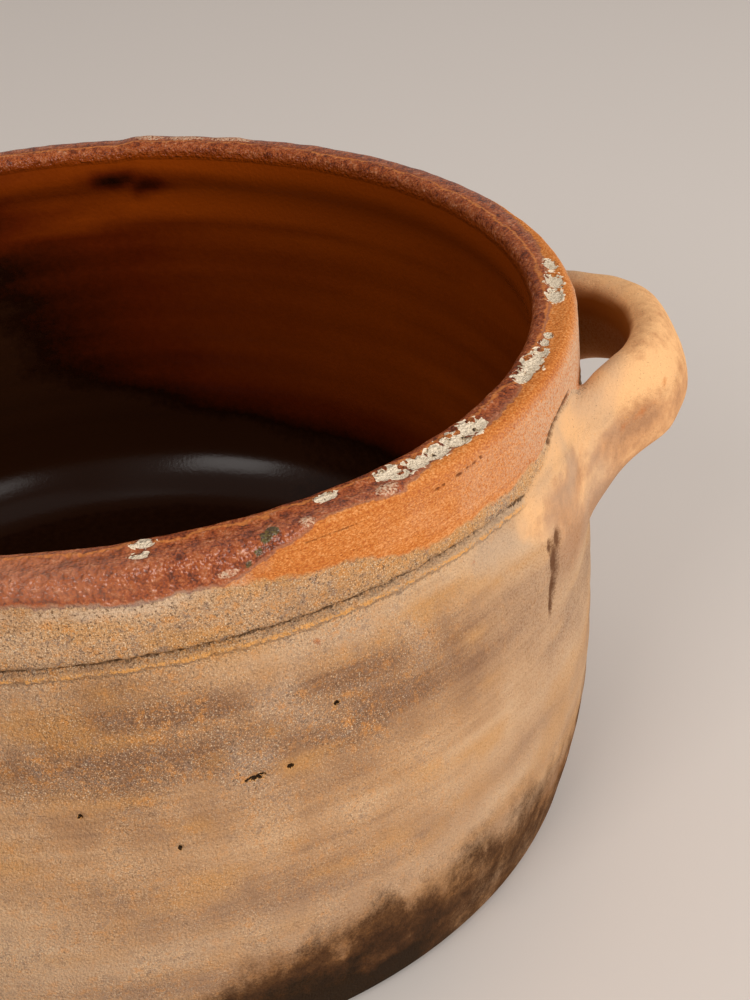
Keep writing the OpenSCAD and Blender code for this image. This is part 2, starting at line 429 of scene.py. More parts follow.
def rise(values, low, high):
    # 0 below low, 1 above high, and smooth between
    s = np.clip((values - low) / (high - low), 0, 1)
    return s * s * (3 - 2 * s)


def fall(values, low, high):
    return rise(-values, -high, -low)


def field(listed, co):
    # 1 in the middle of a mark, 0 at its edge, and down to -1 outside it
    best = np.full(len(co), -1.0)
    for degrees, r, z, around, outward, upward in listed:
        a = math.radians(degrees)
        rel = co - np.array((r * math.cos(a), r * math.sin(a), z))
        side = -rel[:, 0] * math.sin(a) + rel[:, 1] * math.cos(a)
        out = rel[:, 0] * math.cos(a) + rel[:, 1] * math.sin(a)
        away = np.sqrt((side / around) ** 2 + (out / outward) ** 2 + (rel[:, 2] / upward) ** 2)
        best = np.maximum(best, 1 - away)
    return np.clip(best, -1, 1)


def edgeAround(name, azimuth):
    angles, heights = zip(*edges[name])
    return np.interp(azimuth, angles, heights, period=360)


def cloud(co, size, octaves=3, where=None):
    # smooth noise, about -1 to 1, in lumps of that size in millimetres; 0 where it isn't wanted
    made = np.zeros(len(co))
    points = co / np.array(size)
    for i in range(len(co)) if where is None else np.flatnonzero(where):
        made[i] = noise.fractal(Vector(points[i]), 1.0, 2.0, octaves)
    return made


def hump(values, middle, width):
    # 1 at middle, falling off softly both ways
    return np.exp(-((values - middle) / width) ** 2)


def saveField(name, values):
    attribute = mesh.attributes.new(name, "FLOAT", "POINT")
    attribute.data.foreach_set("value", np.asarray(values, np.float32))


def readVectors(what, name):
    values = np.zeros(len(what) * 3, np.float32)
    what.foreach_get(name, values)
    return values.reshape(-1, 3).astype(float)


def swellRoots(co):
    # the clay that is smeared from each handle's roots onto the wall
    r, z = np.hypot(co[:, 0], co[:, 1]), co[:, 2]
    azimuth = np.degrees(np.arctan2(co[:, 1], co[:, 0]))
    off = r - np.array([wallRadius(h) for h in z])
    swell = np.zeros(len(co))
    above = z - swelling["height"]
    upward = np.where(above > 0, np.abs(above / swelling["up"]) ** 3, (above / swelling["down"]) ** 2)
    for middle in swelling["turns"]:
        aside = (np.mod(azimuth - middle + 180, 360) - 180) / swelling["halfTurn"]
        swell = np.maximum(swell, swelling["most"] * np.clip(1 - aside ** 2 - upward, 0, 1) ** 1.2)
    near = (swell > 0) & (r > innerRadius) & (off < swelling["reach"])
    # the higher of wall and swelling, rounded where they meet
    blend = swelling["blend"] * np.clip(swell / swelling["fullFrom"], 0, 1)
    higher = 0.5 * (off + swell + np.sqrt((off - swell) ** 2 + blend ** 2))
    higher -= 0.5 * blend
    grown = np.where(near, np.maximum(higher, off) - off, 0)
    co[:, :2] *= (1 + grown / np.maximum(r, 1))[:, None]
    return co


class Skin:
    # every point of the pot's skin: where it lies, what it belongs to, and slow noise over it
    def __init__(self):
        self.co = swellRoots(readVectors(mesh.vertices, "co") / mm)
        self.out = readVectors(mesh.vertices, "normal")
        self.r, self.z = np.hypot(self.co[:, 0], self.co[:, 1]), self.co[:, 2]
        self.azimuth = np.degrees(np.arctan2(self.co[:, 1], self.co[:, 0]))
        self.turn = np.radians(self.azimuth)
        self.inside = (self.r < innerRadius) & (self.z > 6)
        self.outside = ~self.inside
        self.onLip = (self.z > lipHeight + 0.5) & (self.r > body["lipInside"] + 0.1)
        wall = np.array([wallRadius(h) for h in self.z])
        clear = self.r - np.maximum(wall, np.where(self.z > 60, 117.0, 0))
        self.strap = rise(clear, *levels["strapClear"]) * self.outside
        # height, carried on over the lip's top
        over = np.maximum(body["bandRadius"] - self.r, 0)
        self.along = self.z + np.where(self.z > lipHeight, over, 0)
        self.patchy = cloud(self.co, 9.0, 4)
        self.wipes = cloud(self.co + 300, (80.0, 80.0, 9.0), 4)
        self.broad = cloud(self.co + 700, 33.0, 3)
        self.mottled = cloud(self.co + 1100, (26.0, 26.0, 7.0), 4)
        # the roots are worked over the wall the same way at all four places
        self.folded = np.stack((np.abs(self.co[:, 0]), -np.abs(self.co[:, 1]), self.z), 1)
        worked = rise(self.mark("rootSkin") + 0.15 * self.patchy, -0.05, 0.3)
        self.smeared = np.maximum(self.strap, self.outside * worked)
        # painted shade on the straps' faces that turn towards the wall and away from the sky
        facing = self.out[:, 0] * np.cos(self.turn) + self.out[:, 1] * np.sin(self.turn)
        hidden = -facing - 0.2 * self.patchy - 1.5 * np.maximum(self.out[:, 2], 0)
        self.shadedInLoop = self.strap * rise(hidden, -0.3, 0.7)
        self.onGlaze = self.along - edgeAround("glaze", self.azimuth) + self.patchy
        self.onGlaze = np.where(self.inside & (self.z < 127), 20, self.onGlaze)
        waves = 0.3 * np.sin(self.turn * 31)
        away = 1 - self.past("seamStart") * self.before("seamEnd")
        self.fromSeam = np.abs(self.z - seamHeight - waves) + 8 * away

    def mark(self, name):
        return field(marks[name], self.folded if name.startswith("root") else self.co)

    # the next four go softly from 0 to 1 where turns or levels say; by shifts the place
    def past(self, name, by=0.0):
        return rise(self.azimuth + by, *turns[name])

    def before(self, name):
        return fall(self.azimuth, *turns[name])

    def above(self, name, by=0.0):
        return rise(self.z + by, *levels[name])

    def below(self, name, by=0.0):
        return fall(self.z + by, *levels[name])


def saveEdges(s):
    # distances in millimetres from the edges that the paint follows
    saveField("aboveGlazeEdge", s.onGlaze)
    onOrange = s.along - edgeAround("orange", s.azimuth) + s.patchy - 20 * s.smeared
    saveField("aboveOrangeEdge", np.where(s.inside & (s.z < 127), -20, onOrange))
    scoured = rise(cloud(s.co + 1500, (9.0, 9.0, 5.0), 4), 0.2, 1.0)
    below = edgeAround("soot", s.azimuth) - s.z + 2 * s.patchy + 6 * s.broad - 11 * scoured
    below += 6 * (1 - s.past("sootDark")) * s.below("sootDark")
    thinned = s.past("sootThin") * s.before("paleRightEnd")
    saveField("belowSootEdge", np.where(s.inside, -60, np.minimum(below, 40 - 33 * thinned)))
    saveField("aboveGroove", np.where(s.inside, 50, s.z - grooveHeight))
    ridge = np.clip(s.r - body["ridgeRadius"] + 1.2 * s.patchy, -5, 5)
    saveField("pastLipRidge", np.where(s.onLip, ridge, np.where(s.inside, -5, 5)))
    saveField("fromSeam", np.where(s.inside, 50, s.fromSeam))
    saveField("strap", s.smeared)
    # the painted shade inside the loops
    saveField("loopShade", s.shadedInLoop)
    saveField("inside", s.inside * s.below("insideEnd"))
    for name in ("chip", "blob", "moss", "torn", "scarAndShade", "blemish", "rust"):
        saveField(name, s.mark(name))


def saveClayTones(s):
    # how dark, how golden, how speckled and how hazy the bare clay is, with painted shade and painted light
    # on the handles' roots
    z, patchy, broad = s.z, s.patchy, s.broad
    belt = s.above("beltLow", 3 * patchy) * s.below("beltHigh", 8 * broad)
    belt *= 0.55 + 0.45 * s.before("beltLeft")
    side = s.past("sideStart") * s.before("sideEnd")
    # painted shade and painted light on the roots, in the clay's tone
    shade = s.smeared * rise(s.mark("rootShade") + 0.25 * patchy, -0.3, 0.5)
    light = s.smeared * rise(s.mark("rootLight") + 0.2 * patchy, -0.3, 0.6)
    tone = 0.53 + 0.38 * s.wipes + 0.2 * broad + 0.17 * patchy
    tone += 0.4 * side * s.above("sidePale") - 0.33 * belt
    tone += 0.12 * s.below("footPale") * s.before("leftFoot")
    saveField("clayTone", tone - 0.24 * s.strap - 0.28 * shade + 0.4 * light)
    golden = s.past("goldStart") * s.above("goldLow")
    saveField("golden", 0.6 * np.maximum(rise(s.mottled, 0.0, 0.6), golden) * s.outside)
    speckled = 0.42 + 0.3 * belt + 0.5 * s.above("speckleMore") + 0.3 * patchy
    saveField("speckled", np.clip(speckled * (1 - 0.6 * side * (z < wallTop)), 0.15, 1))
    haze = 0.48 * rise(broad + 0.5 * patchy, 0.1, 0.7) * s.above("hazeHigh")
    haze = np.maximum(haze, 0.3 * s.below("hazeLow"))
    onRoot = s.smeared * fall(np.abs(s.r - 118), *levels["rootHaze"])
    saveField("greyHaze", np.maximum(haze, 0.6 * onRoot * rise(patchy + 0.5 * broad, -0.9, 0.9)))


def saveBloomAndSheen(s):
    # the pale bloom of ash and of worn glaze, paler clay on the wall's right side, a painted highlight at
    # the band's right end, and painted sheen on the lip's far left
    z, patchy = s.z, s.patchy
    ash = hump(s.onGlaze, -1.8, 1.5) * s.before("ashEnd") * s.outside
    wornAndSheen = 0.4 * s.past("wornStart", 8 * patchy) + 0.42 * s.past("wornMore")
    # a painted highlight at the band's right end
    wornAndSheen += 0.3 * s.past("sheenStart")
    wornAndSheen *= s.before("wornAndSheenEnd") * s.above("wornAndSheenLow")
    wornAndSheen *= fall(s.along, *levels["wornAndSheenHigh"]) * (1 - s.smeared)
    # paler clay on the wall's right side
    paleRight = s.past("paleRightStart") * s.before("paleRightEnd")
    paleRight *= s.above("paleRightLow") * (z < wallTop) * s.outside
    paleRight *= 1 - 0.85 * s.smeared
    # painted sheen on the lip's far left
    onLip = s.before("lipSheenEnd") * rise(s.onGlaze, 0, 2) * (z > lipHeight)
    bloom = np.maximum(0.75 * ash * rise(patchy, -0.6, 0.3), 0.8 * wornAndSheen)
    saveField("paleBloomAndSheen", np.maximum(np.maximum(bloom, 0.4 * onLip), 0.5 * paleRight))


def saveInsideToneAndShade(s):
    # how light the glaze inside is: dark on the floor and where smoke has stained it, with painted shade
    # deeper down, in the cove, at the back and on the left, and painted light on the right
    z, turn = s.z, s.turn
    # lighter near the top and darker deeper down, as painted shade
    tone = 0.33 + 0.5 * s.above("insideTop", 14 * s.wipes) + 0.09 * s.wipes + 0.07 * s.broad
    tone -= 0.24 * s.below("insideLow")
    # painted light on the right
    tone += 0.55 * rise(np.cos(turn - 0.9), 0.3, 0.95) * s.above("insideSides")
    # painted shade at the back and on the left
    tone -= 0.14 * s.past("darkSide") * s.below("darkSide")
    tone -= 0.32 * rise(np.cos(turn - 2.2), 0.2, 0.9)
    # painted shade in the cove
    tone = np.where(z < 9.5, 0.05, tone * s.above("cove", 4 * s.patchy))
    saveField("insideToneAndShade", tone * (1 - 0.8 * rise(s.mark("smudge") + 0.5 * s.patchy, -0.5, 0.9)))


def saveFinish(s):
    # gloss of the glaze, and how rough each part feels
    z, well = s.z, s.inside & (s.z < 124)
    matt = 1 - rise(s.onGlaze, -0.5, 0.5)
    lip = 0.35 + 0.5 * rise(s.r, *levels["lipGloss"]) + 0.15 * s.before("glossEnd")
    floor = (0.38 - 0.2 * s.above("floorGloss")) * (1 - 0.4 * s.past("floorDull"))
    wall = 0.7 * s.above("wallGloss")
    saveField("gloss", np.where(well, np.where(z < 30, floor, wall), lip))
    crumbly = 1.4 * hump(z, grooveHeight, 1.8) * s.outside
    # the bump is softer where the loops have painted shade
    rough = (matt + crumbly) * (1 - 0.5 * s.smeared) * (1 - 0.85 * s.shadedInLoop)
    saveField("roughSkin", rough + 2 * rise(s.mark("chip"), -0.1, 0.2))
    saveField("peelSkin", 0.8 * (1 - matt) * np.where(well, np.where(z < 30, 0.04, 0.15), 1))


def throwClay(s):
    # how far the skin lies inside a true round, and how far the rim dips
    z, turn = s.z, s.turn
    swing = 0.5 * np.cos(2 * turn + 0.7) + 0.33 * np.cos(3 * turn + 2.1) + 0.17 * np.cos(5 * turn + 0.4)
    inwards = uneven["outOfRound"] * (swing - 1) * (0.4 + 0.6 * z / body["height"])
    rings = np.sin(z * math.tau / 9.5 + 1.3 * np.sin(turn * 2 + z / 40))
    rings += 0.6 * np.sin(z * math.tau / 5.7 + turn)
    within = s.above("ringsInside") * s.below("ringsInsideEnd")
    without = s.above("ringsOutside") * s.below("ringsOutsideEnd")
    inwards += uneven["throwingRings"] * rings * within * (s.inside & (s.r > 90))
    inwards += uneven["wallRings"] * rings * without * s.outside * (1 - s.strap)
    dip = 0.5 * np.cos(2 * turn + 1.9) + 0.3 * np.cos(3 * turn + 0.3) + 0.2 * np.cos(7 * turn + 1.0)
    drop = uneven["rimDip"] * (dip - 1)
    step = s.past("stepStart") * s.before("stepEnd")
    return inwards, drop - uneven["backStep"] * step


def grooveRelief(s):
    # crumbs and a burr along the groove, which is filled where a root is worked over it
    z, near = s.z, s.outside & (np.abs(s.z - grooveHeight) < 4) & (s.strap < 0.5)
    crumbs = cloud(s.co, 1.7, 2, near) * hump(z, grooveHeight, 1.9)
    filled = hump(z, grooveHeight, 0.9) * rise(cloud(s.co, 14.0, 2, near), -0.3, 0.4) * near
    filled *= 0.5 + 0.7 * s.past("fillStart")
    burr = np.clip(0.45 + 1.3 * cloud(s.co + 40, (2.6, 2.6, 1.6), 2, near), 0, 1) * (1 - s.smeared) * near
    burr *= hump(z, grooveHeight - 1.6, 0.45)
    fromRoot = np.abs(np.abs(s.azimuth) - np.where(np.abs(s.azimuth) > 90, 157, 23))
    atRoot = fall(fromRoot, *turns["rootReach"])
    hollow = np.clip(body["neckRadius"] + 0.1 - s.r, 0, 1.3) * s.outside * (np.abs(z - grooveHeight) < 1.3)
    loose = uneven["grooveCrumbs"] * crumbs + uneven["grooveFill"] * filled
    return atRoot * hollow + (1 - atRoot) * loose + uneven["burr"] * burr


def wearRelief(s):
    # lumps of the rim, flats on the straps, and each mark of making and use
    lumpy = (s.z > 111) & ((s.z > lipHeight) | s.outside)
    lumps = cloud(s.co, 6.0, 1, lumpy) + 0.5 * cloud(s.co, 2.5, 1, s.onLip)
    facets = cloud(s.co, 19.0, 1, s.strap > 0) + 0.35 * cloud(s.co, 8.0, 1, s.strap > 0)
    deep = uneven["rimLumps"] * lumps * s.above("lumps") * (0.5 + 0.5 * s.onLip)
    deep += uneven["strapFacets"] * np.minimum(facets - 0.25, 0) * s.strap
    deep -= uneven["chipDepth"] * rise(s.mark("chip"), -0.1, 0.25)
    deep -= uneven["tearDepth"] * rise(np.maximum(s.mark("torn"), s.mark("scarAndShade")), -0.1, 0.5)
    deep -= uneven["pitDepth"] * rise(s.mark("pits"), -0.3, 0.4)
    deep += uneven["blobHeight"] * rise(np.maximum(s.mark("blob"), s.mark("moss")), -0.1, 0.5)
    return deep - uneven["seamDepth"] * hump(s.fromSeam, 0, 0.5) * s.outside


def ageTheClay():
    s = Skin()
    for save in (saveEdges, saveClayTones, saveBloomAndSheen, saveInsideToneAndShade, saveFinish):
        save(s)
    inwards, drop = throwClay(s)
    deep = grooveRelief(s) + wearRelief(s)
    radial = np.stack((np.cos(s.turn), np.sin(s.turn), np.zeros(len(s.co))), 1)
    flat = s.co + radial * inwards[:, None]
    moved = flat + s.out * deep[:, None]
    moved[:, 2] += drop * (s.z / body["height"]) ** 3
    moved[:, 2] = np.minimum(moved[:, 2], body["height"])
    # the face that it stands on stays flat
    moved[s.z < 0.01] = flat[s.z < 0.01]
    mesh.vertices.foreach_set("co", (moved * mm).astype(np.float32).ravel())
    mesh.update()


def refine(listed, margin, cuts):
    # smaller faces where a mark needs them
    centres = readVectors(mesh.polygons, "center") / mm
    grown = [(a, r, z, side + margin, out + margin, up + margin) for a, r, z, side, out, up in listed]
    pick(potBody)
    bpy.context.tool_settings.mesh_select_mode = (False, False, True)
    clearSelection(mesh)
    mesh.polygons.foreach_set("select", field(grown, centres) > 0)
    bpy.ops.object.mode_set(mode="EDIT")
    bpy.ops.mesh.subdivide(number_cuts=cuts)
    bpy.ops.object.mode_set(mode="OBJECT")


refine(marks["chip"] + marks["moss"] + marks["torn"] + marks["blob"][:3], 0.6, 1)
refine(marks["scarAndShade"], 1.0, 1)
refine(marks["pits"], 1.0, 3)
print("ageing the clay")
ageTheClay()
pick(potBody)
bpy.ops.object.shade_smooth()

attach(potBody, "root")
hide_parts("pot")


def paint(code):
    # a colour from its usual six-figure code
    parts = [int(code[i:i + 2], 16) / 255 for i in (1, 3, 5)]
    return tuple(v / 12.92 if v <= 0.04045 else ((v + 0.055) / 1.055) ** 2.4 for v in parts) + (1.0,)


class Board:
    # a node tree, with short words for the nodes used most
    def __init__(self, tree):
        self.tree = tree

    def add(self, kind, inputs=(), **settings):
        node = self.tree.nodes.new(kind)
        for name, value in settings.items():
            setattr(node, name, value)
        for key, value in dict(inputs).items():
            self.feed(node.inputs[key], value)
        return node

    def feed(self, socket, value):
        if isinstance(value, bpy.types.NodeSocket):
            self.tree.links.new(value, socket)
        else:
            socket.default_value = value

    def sum(self, operation, a, b=0.0):
        return self.add("ShaderNodeMath", {0: a, 1: b}, operation=operation).outputs[0]

    def times(self, a, b):
        return self.sum("MULTIPLY", a, b)

    def plus(self, a, b):
        return self.sum("ADD", a, b)

    def minus(self, a, b):
        return self.sum("SUBTRACT", a, b)

    def most(self, a, b):
        return self.sum("MAXIMUM", a, b)

    def shifted(self, value, by, size):
        # a value moved either way by a noise, size millimetres from end to end
        node = self.add("ShaderNodeMath", {0: by, 1: size, 2: -size / 2}, operation="MULTIPLY_ADD")
        return self.plus(value, node.outputs[0])

    def fade(self, value, start, end, top=1.0):
        # 0 at start, top at end
        node = self.add("ShaderNodeMapRange", {0: value, 1: start, 2: end, 4: top},
                        interpolation_type="SMOOTHSTEP")
        return node.outputs[0]

    def near(self, value, middle, half, soft, top=1.0):
        # top within half of middle, fading over soft
        away = self.sum("ABSOLUTE", self.minus(value, middle) if middle else value)
        return self.fade(away, half + soft, half, top)

    def noise(self, vector, scale, detail=2.0, rough=0.6):
        node = self.add("ShaderNodeTexNoise", {"Vector": vector, "Scale": scale, "Detail": detail,
                                               "Roughness": rough})
        return node.outputs[0]

    def stretch(self, vector, across, upward):
        return self.add("ShaderNodeVectorMath", {0: vector, 1: (across, across, upward)},
                        operation="MULTIPLY").outputs[0]

    def blend(self, mask, first, second):
        node = self.add("ShaderNodeMix", {0: mask, 6: first, 7: second}, data_type="RGBA")
        return node.outputs[2]

    def rampNode(self, value, name):
        node = self.add("ShaderNodeValToRGB", {0: value})
        points = node.color_ramp.elements
        for index, (place, tone, *strength) in enumerate(ramps[name]):
            point = points[index] if index < 2 else points.new(place)
            point.position = place
            point.color = tones[tone][:3] + (strength[0] if strength else 1.0,)
        return node

    def ramp(self, value, name):
        return self.rampNode(value, name).outputs["Color"]

    def speckle(self, under, value, name):
        # grains of other tones laid over a colour
        node = self.rampNode(value, name)
        return self.blend(node.outputs["Alpha"], under, node.outputs["Color"])

    def saved(self, name):
        # a field that was saved on the mesh
        return self.add("ShaderNodeAttribute", attribute_name=name).outputs["Fac"]


def newGroup(name, inputs, outputs):
    tree = bpy.data.node_groups.new(name, "ShaderNodeTree")
    for label, kind in inputs:
        tree.interface.new_socket(name=label, in_out="INPUT", socket_type="NodeSocket" + kind)
    for label, kind in outputs:
        tree.interface.new_socket(name=label, in_out="OUTPUT", socket_type="NodeSocket" + kind)
    return Board(tree), tree.nodes.new("NodeGroupInput").outputs, tree.nodes.new("NodeGroupOutput").inputs


def buildPitGroup():
    # a small ragged oval pit
    g, given, result = newGroup("clayPit", [("Point", "Vector"), ("Centre", "Vector"), ("Turn", "Float"),
                                            ("Reach", "Vector"), ("Ragged", "Float")], [("Mask", "Float")])
    turned = g.add("ShaderNodeCombineXYZ", {2: given["Turn"]}).outputs[0]
    local = g.add("ShaderNodeMapping", {"Vector": given["Point"], "Location": given["Centre"],
                                        "Rotation": turned, "Scale": given["Reach"]}, vector_type="TEXTURE")
    away = g.add("ShaderNodeVectorMath", {0: local.outputs[0]}, operation="LENGTH").outputs["Value"]
    g.feed(result["Mask"], g.fade(g.plus(away, given["Ragged"]), 1.45, 1.0))
    return g.tree


pitGroup = buildPitGroup()


def pitsIn(g, point, ragged, listed):
    # several small pits as one mask
    total = None
    for degrees, r, z, around, outward, upward in listed:
        a = math.radians(degrees)
        node = g.add("ShaderNodeGroup", node_tree=pitGroup)
        g.feed(node.inputs["Point"], point)
        node.inputs["Centre"].default_value = (r * math.cos(a), r * math.sin(a), z)
        node.inputs["Turn"].default_value = a + math.pi / 2
        node.inputs["Reach"].default_value = (around, outward, upward)
        g.feed(node.inputs["Ragged"], ragged)
        total = node.outputs[0] if total is None else g.most(total, node.outputs[0])
    return total


tones = {
    "clay": "#b88f69", "clayPale": "#cfa983", "clayDark": "#8a654a", "clayGold": "#c58f54",
    "grainOrange": "#cf8a45", "grainGrey": "#8b7465", "grainPale": "#efd8b6", "grainDark": "#5c4535",
    "orange": "#cb7a3a", "orangePale": "#f0aa6e", "orangeDeep": "#a9562a",
    "glaze": "#90431e", "glazeDark": "#5a260f", "glazePink": "#bd8060", "glazeOrange": "#a35424",
    "insideTop": "#8a3903", "insideMid": "#5a1c01", "insideLow": "#1c0700", "floorFilm": "#301707",
    "chip": "#fde9cc", "chipShade": "#d3b893", "chipDark": "#46352a", "bloom": "#d2b69a", "haze": "#b09781",
    "purple": "#7c5a55", "green": "#5c5427", "greenDark": "#2e2a14", "sootBrown": "#80552f",
    "soot": "#5a3a20", "sootWarm": "#3a2110", "sootBlack": "#160b05", "handle": "#c99365",
    # the last tone of the next line is the painted shade inside the loops
    "handlePale": "#eab57f", "handleShade": "#a97a56", "loopShadow": "#7d4617",
    # the first tone of the next line is painted shade for the groove
    "grooveShade": "#3f2816", "pitDark": "#170d06",
    "crumb": "#e5a45d", "tear": "#5e2c12", "scarAndShade": "#55301b", "rust": "#b8662c",
}
tones = {name: paint(code) for name, code in tones.items()}

# Noises that several finishes share: lumps to a millimetre and detail
noises = {"small": (0.45, 2), "grain": (2.0, 2), "fleck": (3.8, 1)}

# Tones along a value: place, tone and, for grains laid over a colour, strength.
# The first two of each list are its lowest and its highest place
ramps = {
    "clay": [(0.1, "clayDark"), (0.9, "clayPale"), (0.5, "clay")],
    "smallGrains": [(0.33, "grainOrange", 0.7), (0.69, "grainGrey", 0.8),
                    (0.44, "grainOrange", 0.0), (0.56, "grainGrey", 0.0)],
    "grains": [(0.2, "grainPale", 1.0), (0.68, "grainDark", 0.9), (0.28, "grainOrange", 0.9),
               (0.46, "grainOrange", 0.0), (0.54, "grainDark", 0.0)],
    "flecks": [(0.3, "grainDark", 0.6), (0.72, "grainPale", 0.8),
               (0.42, "grainDark", 0.0), (0.58, "grainPale", 0.0)],
    "soot": [(0.0, "sootBrown"), (0.95, "sootBlack"), (0.25, "soot"), (0.6, "sootWarm")],
    "handle": [(0.2, "handleShade"), (0.85, "handlePale"), (0.52, "handle")],
    "orange": [(0.15, "orangeDeep"), (0.95, "orangePale"), (0.5, "orange")],
    # the glaze's pink is partly its own colour and partly painted sheen
    "glaze": [(0.26, "glazeDark"), (0.86, "glazePink"), (0.46, "glaze"), (0.6, "glazeOrange")],
    "inside": [(0.0, "floorFilm"), (1.0, "insideTop"), (0.12, "insideLow"), (0.45, "insideMid")],
    "chip": [(0.29, "chipDark"), (0.77, "chipShade"), (0.35, "chipShade"), (0.41, "chip"), (0.6, "chip")],
    # the crusts' pale and pink tones are partly painted highlights
    "crust": [(0.32, "glazeDark"), (0.6, "bloom"), (0.45, "glazePink")],
    "moss": [(0.42, "green"), (0.58, "greenDark")],
}

gloss = {"coatRoughness": 0.2, "specular": 0.03, "matt": 0.9, "shiny": 0.5}


def bareClay(g):
    # clay with grains of three sizes over it
    clay = g.ramp(g.shifted(g.saved("clayTone"), g.streaks, 0.35), "clay")
    clay = g.blend(g.saved("golden"), clay, tones["clayGold"])
    clay = g.blend(g.saved("greyHaze"), clay, tones["haze"])
    plain = g.blend(g.fade(g.shifted(g.saved("rust"), g.small, 1.2), 0.0, 0.5, 0.7), clay, tones["rust"])
    clay = g.speckle(plain, g.small, "smallGrains")
    clay = g.speckle(clay, g.grain, "grains")
    clay = g.speckle(clay, g.fleck, "flecks")
    return g.blend(g.saved("speckled"), plain, clay)


def sootOver(g, under):
    # soot from the fire round the foot
    licks = g.noise(g.stretch(g.point, 0.16, 0.09), 1.0, 3)
    below = g.shifted(g.shifted(g.saved("belowSootEdge"), g.small, 5.0), licks, 14.0)
    depth = g.shifted(g.shifted(below, g.grain, 10.0), g.small, 9.0)
    burnt = g.shifted(g.fade(depth, -4.0, 26.0), g.saved("clayTone"), 0.5)
    return g.blend(g.fade(g.shifted(below, g.grain, 8.0), -7.0, 9.0, 0.95), under, g.ramp(burnt, "soot"))


def grooveOver(g, under):
    # the cut groove, with its crumbly burr, painted shade in the groove and a painted shadow under the burr
    fromGroove = g.shifted(g.shifted(g.saved("aboveGroove"), g.small, 2.4), g.grain, 1.2)
    crumbs = g.fade(g.shifted(g.small, g.grain, 0.9), 0.43, 0.56, 0.9)
    clay = g.blend(g.times(g.near(fromGroove, -1.5, 0.2, 0.5), crumbs), under, tones["crumb"])
    # a painted shadow under the burr
    clay = g.blend(g.near(fromGroove, -2.3, 0.1, 0.4, 0.35), clay, tones["grooveShade"])
    # painted shade in the groove
    broken = g.fade(g.small, 0.68, 0.48, 0.8)
    return g.blend(g.times(g.near(fromGroove, 0.0, 0.12, 0.38), broken), clay, tones["grooveShade"])


def handleOver(g, under):
    # the smooth clay of the handles, with painted shade inside the loops
    loop = g.ramp(g.shifted(g.saved("clayTone"), g.small, 0.65), "handle")
    loop = g.blend(g.saved("greyHaze"), loop, tones["haze"])
    blemish = g.fade(g.shifted(g.saved("blemish"), g.grain, 1.0), -0.4, 0.8, 0.55)
    loop = g.blend(blemish, loop, tones["rust"])
    clay = g.blend(g.times(g.strap, g.fade(g.grain, 0.82, 0.6)), under, loop)
    # painted shade over the loops' inner faces
    return g.blend(g.saved("loopShade"), clay, tones["loopShadow"])


def orangeOver(g, under):
    # the band: matt orange where the glaze ran thin
    brushed = g.noise(g.stretch(g.point, 1.7, 3.2), 1.0, 2)
    flush = g.ramp(g.shifted(g.shifted(0.5, g.streaks, 0.6), brushed, 1.35), "orange")
    clay = g.blend(g.fade(g.shifted(g.saved("aboveOrangeEdge"), g.small, 2.6), -0.6, 0.7), under, flush)
    # pale bloom, with a painted highlight at the band's right end
    clay = g.blend(g.bloomed, clay, tones["bloom"])
    return g.blend(g.near(g.fromGlazeEdge, -0.25, 0.2, 0.5, 0.55), clay, tones["purple"])


def glazeOver(g, under):
    # glaze over the lip and inside
    coat = g.ramp(g.shifted(g.small, g.grain, 0.95), "glaze")
    # pink where the bloom and the painted sheen lie
    coat = g.blend(g.bloomed, coat, tones["glazePink"])
    ridge = g.near(g.shifted(g.saved("pastLipRidge"), g.small, 2.4), 0.0, 0.15, 0.45, 0.7)
    coat = g.blend(ridge, coat, tones["orange"])
    # the inside's tone carries painted shade and painted light
    deep = g.ramp(g.shifted(g.saved("insideToneAndShade"), g.small, 0.16), "inside")
    return g.blend(g.glazed, under, g.blend(g.saved("inside"), coat, deep))


def chipsOver(g, under):
    # chips and crusts, which have no glaze, and moss, scars darkened partly as painted shade, tears and
    # pits
    ragged = g.shifted(0.0, g.noise(g.point, 0.8, 2, 0.7), 1.0)
    flakes = g.add("ShaderNodeTexVoronoi", {"Vector": g.point, "Scale": 0.85}).outputs["Color"]
    chips = g.fade(g.shifted(g.shifted(g.saved("chip"), flakes, 1.1), g.small, 0.8), 0.0, 0.06)
    skin = g.blend(chips, under, g.ramp(g.shifted(g.small, g.grain, 0.3), "chip"))
    crust = g.fade(g.plus(g.saved("blob"), ragged), -0.05, 0.1, 0.9)
    skin = g.blend(crust, skin, g.ramp(g.grain, "crust"))
    moss = g.fade(g.plus(g.saved("moss"), g.times(ragged, 0.5)), 0.0, 0.15, 0.9)
    skin = g.blend(moss, skin, g.ramp(g.grain, "moss"))
    # the scars' dark tone is partly painted shade
    scarAndShade = g.fade(g.shifted(g.shifted(g.saved("scarAndShade"), g.small, 0.7), g.grain, 0.7), -0.3, 0.7, 0.85)
    skin = g.blend(scarAndShade, skin, tones["scarAndShade"])
    torn = g.fade(g.plus(g.saved("torn"), g.times(ragged, 0.8)), -0.1, 0.3)
    seam = g.fade(g.shifted(g.saved("fromSeam"), g.grain, 0.9), 0.35, 0.0)
    pits = pitsIn(g, g.point, g.shifted(0.0, g.grain, 1.6), marks["pits"])
    rims = g.times(g.near(pits, 0.35, 0.1, 0.2, 0.8), g.minus(1.0, g.strap))
    skin = g.blend(rims, skin, tones["crumb"])
    skin = g.blend(g.fade(pits, 0.3, 0.6, 0.95), skin, tones["pitDark"])
    skin = g.blend(g.most(g.times(torn, 0.75), g.times(seam, 0.6)), skin, tones["tear"])
    return skin, g.most(chips, crust)


